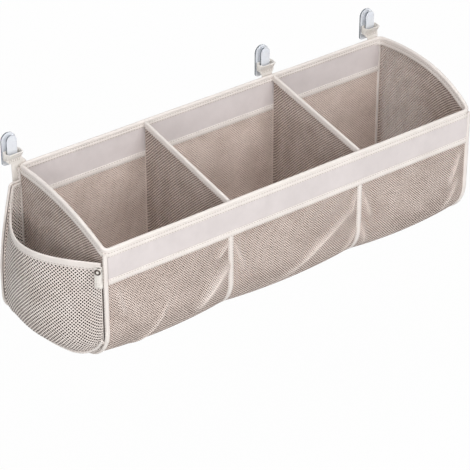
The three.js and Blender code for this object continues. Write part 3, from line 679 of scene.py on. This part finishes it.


# lifts the net into its folds, paints a highlight along them and gathers it towards them
def foldNet(bay, x, run):
    rise, light = np.zeros_like(x), np.zeros_like(x)
    first, last = bays[bay]
    free = np.clip(np.minimum(x - first, last - x) / mesh["sewnEdge"], 0, 1)
    for x0, r0, x1, r1, high, wide in folds[bay]:
        length = math.hypot(x1 - x0, r1 - r0)
        ax, ar = (x1 - x0) / length, (r1 - r0) / length
        along = (x - x0) * ax + (run - r0) * ar
        off = (run - r0) * ax - (x - x0) * ar
        reach = hump(along / length) ** mesh["acrossPower"]
        ridge = np.exp(-(off / wide) ** 2)
        pull = ridge * reach
        rise = rise + high * pull * ridge
        pale = np.exp(-(off / (mesh["pale"] * wide)) ** 2) * reach
        light = np.maximum(light, np.minimum(high / mesh["palest"], 1) * pale)
        drawn = mesh["gather"] * free * off * pull
        x, run = x + drawn * ar, run - drawn * ax
    return rise, light, x, run


def netPiece(name, size, knit, lay, node, finish="fineKnit", slot="netting", held="stretched",
             light=None):
    net = knitNet(name, *size, *knit)
    net.data.materials.append(finishes[finish])
    # second slot: the painted shade on the walls of each hole
    net.data.materials.append(finishes[finish + "Loops"])
    # a painted highlight along the folds, kept on the points
    if light:
        flat = readPlaces(net) / mm
        shade = net.data.attributes.new("paintedFoldHighlight", "FLOAT", "POINT")
        shade.data.foreach_set("value", light(*flat[:, :2].T).astype(np.float32))
    laySheet(net, lay, mesh["thick"] if slot == "netting" else pocket["thick"])
    dress(net, finish, "basket", [node])


def makeBay(bay):
    x0, x1 = bays[bay]
    wide = x1 - x0
    whole = sectionPoints(frontHem - mesh["hemGap"], backHem, step=mesh["step"])
    run = runLength(whole)
    outward = outwardOf(whole)
    frontEnd = run[np.argmax(whole[:, 1] < -height + 0.01)]
    floorEnd = run[-1] - (height - backBend + backHem)

    def lay(u, at):
        fold, _, x, at = foldNet(bay, x0 + u, at)
        u = x - x0
        y, z = (np.interp(at, run, whole[:, k]) for k in (0, 1))
        ny, nz = (np.interp(at, run, outward[:, k]) for k in (0, 1))
        front = mesh["frontBelly"] * hump(at / mesh["frontReach"]) ** mesh["runPower"]
        under = (at - mesh["floorFrom"]) / (floorEnd - mesh["floorFrom"])
        under = mesh["floorBelly"] * hump(under) ** mesh["runPower"]
        behind = mesh["backBelly"] * hump((at - floorEnd) / (run[-1] - floorEnd))
        swell = hump(u / wide) ** mesh["acrossPower"] * (front + under + behind) + fold
        return inBasket(x, y + ny * swell, z + nz * swell)

    title = bay.title()
    # the front nets carry the painted highlight along their folds
    netPiece(f"frontNet{title}", (wide, frontEnd), mesh["fine"], lay, f"front_mesh_{bay}",
             light=lambda u, v: foldNet(bay, x0 + u, v)[1])
    netPiece(f"floorNet{title}", (wide, floorEnd - frontEnd), mesh["dense"],
             lambda u, v: lay(u, frontEnd + v), "bottom_mesh")
    netPiece(f"backNet{title}", (wide, run[-1] - floorEnd - mesh["backGap"]), mesh["dense"],
             lambda u, v: lay(u, floorEnd + v), "back_mesh")


for bay in bays:
    makeBay(bay)
print("bays netted")


# a fine net across the basket, from the floor up to a line
def crossPanel(name, x, panel, sign, topLine, node):
    gap, tall = panel["panelGap"], panel["panelTall"]
    deep = depth - 2 * gap

    def lay(u, v):
        y = -depth + gap + u
        share = v / tall
        low = -height + panel["overFloor"] + floorLift(y)
        swell = sign * panel["belly"] * hump(u / deep) * hump(share)
        return inBasket(x + swell, y, low + (topLine(y) - panel["underTop"] - low) * share)

    netPiece(name, (deep, tall), mesh["fine"], lay, node)


# ends: a mesh panel under the arch, and a bound seam round its edge
ends = {
    "panelTall": 170.0, "panelGap": basket["seamRadius"], "overFloor": 1.0, "underTop": 4.0, "belly": 4.0,
    "seamWide": 6.4, "seamThick": 4.8, "seamTop": -3.5,
    "seamPower": 0.7,  # under 1 makes the seam squarer than round
}


def makeEnd(side):
    sign, title = endSides[side], side.title()
    x = sign * basket["halfLength"]
    arch = archPoints(side)[::-1]
    crossPanel(f"endNet{title}", x, ends, sign, lambda y: np.interp(y, *arch.T), f"end_mesh_{side}")
    section = sectionPoints(ends["seamTop"] - frontDrop, ends["seamTop"])
    path = inBasket(x, *section.T)
    circle = np.array(roundSection(1, 14))
    squared = np.copysign(np.abs(circle) ** ends["seamPower"], circle)
    outline = squared * (ends["seamThick"] / 2, ends["seamWide"] / 2)
    bindTape(f"endSeam{title}", path, outline, f"end_seam_{side}", up=(1, 0, 0))
    line = path + (sign * ends["seamWide"] / 2 * mm, 0, 0)
    sewLines(f"endSeamStitches{title}", [(line, (sign, 0, 0))])


for side in endSides:
    makeEnd(side)
print("ends netted")

# dividers: a mesh panel with a folded tape along its top, and a seam tape outside the mesh
dividers = {
    "fold": (2.1, 0.5, 2.5, -6.4), "wallGap": 3.4,  # half, gap, top and bottom of the folded tape
    "stitches": (0.1, 1.2),  # in from the face, and up from the lower edge
    "panelTall": 175.0, "panelGap": 3.3, "overFloor": 0.6, "underTop": 0.5, "belly": 2.0,
    "tapeThick": 1.0, "tapeWide": 8.0, "tapeOff": 0.15, "hemGap": 0.3, "tapeStitches": (-2.9, 2.9),
}


def makeDivider(side):
    x = endSides[side] * basket["dividerX"]
    title = side.title()
    slope = frontDrop / depth
    crossPanel(f"dividerNet{title}", x, dividers, 1, lambda y: slope * y, f"divider_mesh_{side}")
    gap = dividers["wallGap"]
    run = np.linspace(-gap, -depth + gap, 24)
    path = inBasket(x, run, slope * run)
    section = foldedSection(*dividers["fold"])
    bindTape(f"dividerBinding{title}", path, section, f"divider_binding_{side}")
    lines = []
    half, _, _, bottom = dividers["fold"]
    inset, over = dividers["stitches"]
    for face in (-1, 1):
        spots = path + np.array((face * (half - inset), 0, bottom + over)) * mm
        lines.append((spots, (face, 0, 0)))
    thick = dividers["tapeThick"]
    out = mesh["thick"] / 2 + dividers["tapeOff"] + thick / 2
    gap = dividers["hemGap"]
    section = sectionPoints(frontHem - gap, backHem - gap, out=out)
    path = inBasket(x, *section.T)
    flat = flatSection(thick, dividers["tapeWide"])
    bindTape(f"seamTape{title}", path, flat, f"seam_tape_{side}", up=(1, 0, 0))
    outward = np.column_stack((np.zeros(len(section)), outwardOf(section)))
    for off in dividers["tapeStitches"]:
        spots = path + (np.array((off, 0, 0)) + outward * thick / 2) * mm
        lines.append((spots, outward))
    sewLines(f"dividerStitches{title}", lines)


for side in endSides:
    makeDivider(side)
print("dividers sewn in")

# side pocket: coarse net that swells out of the left end, its bound mouth, the ear behind and piping
pocket = {
    "start": 307.6, "length": 180.4, "bulge": 50.0, "fullest": 0.43, "top": -65.0, "topDip": 3.0,
    "inset": 6.0, "floor": -205.2,
    "floorPower": 9, "earPower": 24,  # how late the pocket and its ear close towards the floor
    "knit": (5.3, 1.35), "earKnit": (4.77, 1.35), "thick": 2.2,
    "runsAt": (0.3, 0.5),  # how far down its width is measured, and how far along its height
    "mouthFold": (1.6, 0.55, 9.3, -0.8), "mouthFrom": 2.0, "mouthStitch": 0.9,
    "earTop": -22.0, "earWidths": (11.5, 32.0), "earFullest": 0.75,
    "earWide": 28.0, "earY": -1.6, "earLow": 5.0, "earLap": 0.4,
    "earTape": ((-305.5, -25.0), (-312.0, -25.0), (-316.0, -25.6), (-317.6, -28.5), (-319.4, -37.0),
                (-321.6, -49.0), (-322.8, -62.0)),
    "earTapeWide": 5.2, "earTapeThick": 1.0, "earTapeOff": 0.05,
    "pipingRadius": 1.6, "pipingLow": 0.82, "pipingAlong": (0.06, 0.94),
    "pipingOff": (0.5, 0.4),  # from the ear's edge and from the pocket
    "pipingStart": 1.0, "shoulder": (6.0, 0.5), "bend": 5.0, "bendOut": (-1.5, 0.5, -2.0),
}


def fallTo(z):
    return np.clip((pocket["top"] - z) / (pocket["top"] - pocket["floor"]), 0, 1)


def plainLevel(v):
    return pocket["top"] + (pocket["floor"] - pocket["top"]) * np.sin(v * quarter)


def earWidth(z):
    share = (pocket["earTop"] - z) / (pocket["earTop"] - pocket["floor"]) / pocket["earFullest"]
    growth = np.sin(np.minimum(share, 1) * quarter)
    slim, broad = pocket["earWidths"]
    wide = slim + (broad - slim) * growth
    return wide * np.sqrt(1 - fallTo(z) ** pocket["earPower"])


def pocketSwell(share, z):
    full = pocket["bulge"] * np.sqrt(1 - fallTo(z) ** pocket["floorPower"])
    fullest = pocket["fullest"]
    front = full * np.cos(np.clip((share - fullest) / (1 - fullest), 0, 1) * quarter)
    ear = earWidth(z) - pocket["inset"] * (1 - fallTo(z))
    back = ear + (full - ear) * np.sin(np.clip(share / fullest, 0, 1) * quarter)
    return np.where(share > fullest, front, back)


def pocketPlace(u, v):
    share = (1 - np.cos(math.pi * u)) / 2
    y = -basket["seamRadius"] - pocket["length"] * share
    top = pocket["top"] - pocket["topDip"] * np.sin(math.pi * share)
    z = top + (pocket["floor"] + floorLift(y) - top) * np.sin(v * quarter)
    x = -pocket["start"] - pocketSwell(share, plainLevel(v))
    return np.stack(np.broadcast_arrays(x, y, z), axis=-1)


def pocketOutward(u, v):
    step = 1e-3
    alongU = pocketPlace(np.minimum(u + step, 1), v) - pocketPlace(np.maximum(u - step, 0), v)
    alongV = pocketPlace(u, np.minimum(v + step, 1)) - pocketPlace(u, np.maximum(v - step, 0))
    out = unit(np.cross(alongU, alongV))
    return out * np.where(out[..., :1] < 0, 1, -1)


def makePocket():
    knots = np.linspace(0, 1, 401)
    down, along = pocket["runsAt"]
    runU = runLength(pocketPlace(knots, np.full_like(knots, down)))
    runV = runLength(pocketPlace(np.full_like(knots, along), knots))

    def lay(u, v):
        at = np.interp(u, runU, knots), np.interp(v, runV, knots)
        return (pocketPlace(*at) + basketPlace) * mm

    coarse = "coarseKnit", "coarse_netting", "hung"
    netPiece("pocketNet", (runU[-1], runV[-1]), pocket["knit"], lay, "side_pocket_net", *coarse)

    u = np.interp(np.linspace(pocket["mouthFrom"], runU[-1], 70), runU, knots)
    path = (pocketPlace(u, np.zeros_like(u)) + basketPlace) * mm
    bindTape("pocketBinding", path, foldedSection(*pocket["mouthFold"]), "side_pocket_binding")
    side = unit(np.cross((0, 0, 1.0), np.gradient(path, axis=0)))
    half = pocket["mouthFold"][0]
    raised = np.array((0, 0, pocket["mouthStitch"])) * mm
    lines = [(path + face * side * half * mm + raised, face * side) for face in (1, -1)]

    # ear: flat net between the end seam and the piping, hemmed along its top and down to the mouth
    earTop, earY = pocket["earTop"], pocket["earY"]
    levels = np.linspace(earTop, pocket["floor"] + pocket["earLow"], 200)
    inner = -basket["halfLength"] - basket["seamRadius"] + pocket["earLap"]
    lowEdge = pocketPlace(np.zeros_like(knots), knots)[:, 2]
    lowWidth = np.interp(-levels, -lowEdge, earWidth(plainLevel(knots)))
    edgeX = -pocket["start"] - np.where(levels > pocket["top"], earWidth(levels), lowWidth)

    def layEar(u, v):
        edge = np.interp(v, earTop - levels, edgeX)
        return inBasket(inner + (edge - inner) * u / pocket["earWide"], earY, earTop - v)

    netPiece("pocketEar", (pocket["earWide"], levels[0] - levels[-1]), pocket["earKnit"], layEar,
             "side_pocket_ear", *coarse)
    tapeY = earY - (pocket["thick"] + pocket["earTapeThick"]) / 2 - pocket["earTapeOff"]
    spots = np.array(pocket["earTape"])
    run = runLength(spots)
    even = np.linspace(0, run[-1], 40)
    path = inBasket(np.interp(even, run, spots[:, 0]), tapeY, np.interp(even, run, spots[:, 1]))
    section = flatSection(pocket["earTapeWide"], pocket["earTapeThick"])
    bindTape("pocketEarTape", path, section, "side_pocket_binding", up=(0, -1, 0))
    lines.append((path - np.array((0, pocket["earTapeThick"] / 2, 0)) * mm, (0, -1, 0)))
    sewLines("pocketStitches", lines)

    # piping: along the ear's top, down its edge and forward along the bottom of the pocket
    radius = pocket["pipingRadius"]
    offEar, offPocket = pocket["pipingOff"]
    bend = pocketPlace(np.array(0.0), np.array(pocket["pipingLow"]))[2] + pocket["bend"]
    keep = (levels > bend) & (levels < earTop - pocket["bend"])
    edge = np.column_stack((edgeX[keep], levels[keep]))[::4]
    edge = edge + outwardOf(edge) * (radius + offEar)
    down = np.column_stack((edge[:, 0], np.full(len(edge), earY), edge[:, 1]))
    topZ = earTop + radius
    start = inner + pocket["pipingStart"], earY, topZ
    shoulder, corner = ((down[0, 0] + off, earY, topZ) for off in pocket["shoulder"])
    top = cornerCurve(shoulder, corner, down[0])
    u = np.linspace(*pocket["pipingAlong"], 60)
    v = np.full_like(u, pocket["pipingLow"])
    forward = pocketPlace(u, v) + pocketOutward(u, v) * (radius + offPocket)
    corner = (down[-1] + forward[0]) / 2 + pocket["bendOut"]
    turn = cornerCurve(down[-1], corner, forward[0], 6)
    path = (np.vstack((start, top[:-1], down[:-1], turn, forward[1:])) + basketPlace) * mm
    bindTape("pocketPiping", path, roundSection(radius), "side_pocket_piping", up=(1, 0.2, 0.1))


makePocket()
print("pocket hung")

# straps: a webbing ring over the hook, and a tab that goes behind the rim and is sewn to the band
straps = {
    # each hook's x, and its strap's lean and width at the foot
    "sides": {"left": (-410.5, 8.0, 22.0), "middle": (0.0, 2.0, 17.0), "right": (188.5, 5.0, 18.0)},
    "topWide": 24.0, "thick": 1.2, "ringTall": 11.0, "ringMiddle": -5.7, "flare": 7.0,
    "ringHalf": 8.475, "ringTurn": 3.725, "ringCentre": -9.975,
    # how far down the tab and how far from the wall it is there
    "levels": (-10.4, -12.0, -14.0, -17.0, -19.5, -22.0, -25.0, -28.0, -32.0, -40.0, -51.5),
    "depths": (-13.7, -13.7, -13.4, -12.4, -11.95, -11.8, -11.8, -11.95, -12.3, -12.5, -12.5),
    "flatWide": 20.0, "footAt": -20.0, "curl": 0.25, "tabThick": 1.05, "step": 2.0,
    "box": (-34, -49), "boxInset": 1.6, "boxOff": 0.5,  # the crossed square of stitches
    "rows": (-11.6, -13.4), "rowEnds": (-8.0, 9.0), "rowY": -14.45,
}


def makeStrap(side):
    x, lean, foot = straps["sides"][side]
    title = side.title()
    half, turn, centre = straps["ringHalf"], straps["ringTurn"], straps["ringCentre"]
    plan = arc(half, centre, turn, np.linspace(-quarter, quarter, 13))
    plan += arc(-half, centre, turn, np.linspace(quarter, 3 * quarter, 13))
    plan = np.array(plan + plan[:1])[::-1]
    path = np.column_stack((plan[:, 0] + x, plan[:, 1], np.full(len(plan), straps["ringMiddle"]))) * mm
    section = flatSection(straps["thick"], straps["ringTall"])
    loop = layTape(f"strapRing{title}", path, section, closed=True)
    places = readPlaces(loop) / mm
    forward = np.clip((centre - places[:, 1]) / turn, 0, 1)
    raised = np.clip((places[:, 2] - straps["ringMiddle"]) / straps["ringTall"] + 0.5, 0, 1)
    places[:, 1] -= straps["flare"] * forward * raised  # the front of the ring leans out from the hook
    writePlaces(loop, places * mm)

    levels, depths = np.array(straps["levels"]), np.array(straps["depths"])

    def lay(u, v):
        y = np.interp(v, levels[0] - levels, depths)
        share = np.clip(v / (levels[0] - straps["footAt"]), 0, 1)
        share = share * share * (3 - 2 * share)
        wide = straps["topWide"] + (foot - straps["topWide"]) * share
        across = u / straps["flatWide"] - 0.5
        curl = straps["curl"] * np.cos(math.pi * across)
        return np.stack((x + lean * share + across * wide, y - curl, levels[0] - v), axis=-1) * mm

    tab = plainSheet(f"strap{title}", straps["flatWide"], levels[0] - levels[-1], straps["step"])
    laySheet(tab, lay, straps["tabThick"])
    pick(tab)
    loop.select_set(True)
    bpy.ops.object.join()
    dress(tab, "webbing", angle=50)
    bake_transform(tab)
    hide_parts(f"strap_{side}", f"strap_tail_{side}")
    inset = foot / 2 - straps["boxInset"]
    left, right = x + lean - inset, x + lean + inset
    back = depths[-1] + straps["boxOff"]
    high, low = straps["box"]
    box = [(left, back, high), (right, back, high), (right, back, low), (left, back, low)]
    pairs = [(0, 1), (1, 2), (2, 3), (3, 0), (0, 2), (1, 3)]
    lines = [(np.array((box[a], box[b])) * mm, (0, 1, 0)) for a, b in pairs]
    sewLines(f"strapStitches{title}", lines, stitch=2.2, every=3.0)
    rows = [[(x + off, straps["rowY"], z) for off in straps["rowEnds"]] for z in straps["rows"]]
    rows = [(np.array(row) * mm, (0, -1, 0)) for row in rows]
    sewLines(f"ringStitches{title}", rows, "hanging_straps", stitch=2.0, every=2.8)


for side in straps["sides"]:
    makeStrap(side)
print("straps threaded")

# hooks: moulded in one with soft edges, on a foam pad
hooks = {"edge": 0.5, "edgeSteps": 3, "edgeAngle": 50, "edgeFacing": 0.8}


def makeHook(side):
    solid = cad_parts[f"hook_{side}"]
    hook = bpy.data.objects.new(f"clearHook{side.title()}", solid.data.copy())
    bpy.context.scene.collection.objects.link(hook)
    hook.data.materials.clear()
    edit(hook)
    bpy.ops.mesh.remove_doubles(threshold=1e-5)
    bpy.ops.mesh.select_all(action="SELECT")
    bpy.ops.mesh.dissolve_limited(angle_limit=math.radians(1.0))
    finishEdit()
    applyModifier(hook, "BEVEL", width=hooks["edge"] * mm, segments=hooks["edgeSteps"],
                  limit_method="ANGLE", angle_limit=math.radians(hooks["edgeAngle"]))
    # the sides and rounded edges, all faces not turned to the wall or the room, get the painted dark edge
    # shade
    for finish in ("hookClear", "hookPaintedEdgeShade"):
        hook.data.materials.append(finishes[finish])
    for polygon in hook.data.polygons:
        polygon.material_index = int(abs(polygon.normal.y) < hooks["edgeFacing"])
    dress(hook, "hookClear", "wall_hooks", [f"hook_{side}"], angle=35)
    refinish(f"adhesive_pad_{side}", "adhesiveFoam")


for side in straps["sides"]:
    makeHook(side)
print("hooks moulded")

# press-stud loop: a webbing strip turned up at its foot, and a flap that snaps to it
snap = {
    "place": (-408.627, -196.700, -87.104), "turn": -54.0,
    "wide": 9.0, "thick": 1.0, "legY": -2.3, "flapY": -6.9, "top": 5.0, "bottom": -22.0,
    "flapGap": 0.3, "rows": (-16.5, -18.5), "rowHalf": 3.4, "rowOff": 0.5,
    "edge": 0.12, "edgeAngle": 40,
    # each pressed part: radius, depth, where it starts, then the steps of its face (in, up, bright)
    "snapCap": (4.2, 0.7, -7.45, [(0.5, 0.4, False), (1.5, 0.05, False), (0.3, -0.45, True),
                                  (0.9, 0.2, True)]),
    "snapSocket": (3.4, 2.15, -4.2, [(0.5, 0.0, False), (1.0, -0.5, False)]),
    "snapStud": (4.0, 0.8, -2.85, [(0.6, 0.2, False), (1.9, 0.2, False)]),
}


def inLoop():
    place = Matrix.Translation([value * mm for value in snap["place"]])
    return place @ Matrix.Rotation(math.radians(snap["turn"]), 4, "Z")


def pressedPart(name, body, node):
    radius, deep, fromY, cuts = snap[name]
    part = addShape(name, bpy.ops.mesh.primitive_cylinder_add, vertices=32, radius=radius * mm,
                    depth=deep * mm, location=(0, 0, deep / 2 * mm))
    bpy.ops.object.transform_apply(location=True, rotation=True, scale=True)
    choose(part, "FACE", lambda face: face.normal.z > 0.9)
    for inset, rise, bright in cuts:
        bpy.ops.mesh.inset(thickness=inset * mm, depth=rise * mm)
        for face in bmesh.from_edit_mesh(part.data).faces:
            if face.select and bright:
                face.material_index = 1
    finishEdit()
    applyModifier(part, "BEVEL", width=snap["edge"] * mm, segments=2, limit_method="ANGLE",
                  angle_limit=math.radians(snap["edgeAngle"]))
    upright = Matrix.Rotation(math.radians(90), 4, "X")
    facing = Matrix.Translation((0, fromY * mm, 0)) @ upright
    part.data.transform(inLoop() @ facing)
    dress(part, "snapMetal", body, [node], angle=snap["edgeAngle"])
    part.data.materials.append(finishes["snapCentre"])


def makeSnap():
    foot = (snap["legY"] - snap["flapY"]) / 2
    middle = (snap["legY"] + snap["flapY"]) / 2
    top, bottom = snap["top"], snap["bottom"]
    leg = [(snap["legY"], z) for z in np.linspace(top, bottom, 12, endpoint=False)]
    leg += arc(middle, bottom, foot, np.linspace(0, -math.pi, 13))
    flap = [(snap["flapY"], z) for z in np.linspace(bottom + snap["flapGap"], top, 14)]
    place = inLoop()
    across = tuple(place.to_3x3() @ Vector((1, 0, 0)))
    outward = tuple(place.to_3x3() @ Vector((0, -1, 0)))
    for name, points, body, node in (
            ("snapLeg", leg, "basket", "snap_loop_leg"), ("snapFlap", flap, "press_flap", "snap_flap")):
        path = [tuple(place @ Vector((0, y * mm, z * mm))) for y, z in points]
        strip = layTape(name, path, flatSection(snap["thick"], snap["wide"]), up=across)
        dress(strip, "webbing", body, [node], angle=50)
    pressedPart("snapCap", "press_flap", "snap_cap")
    pressedPart("snapSocket", "press_flap", "snap_socket")
    pressedPart("snapStud", "basket", "snap_stud")
    rows = []
    half, rowY = snap["rowHalf"], snap["flapY"] - snap["rowOff"]
    for z in snap["rows"]:
        row = [tuple(place @ Vector((x * mm, rowY * mm, z * mm))) for x in (-half, half)]
        rows.append((row, outward))
    sewLines("snapStitches", rows, "press_flap", stitch=1.6, every=2.2, thick=0.5)


makeSnap()
print("press stud set")
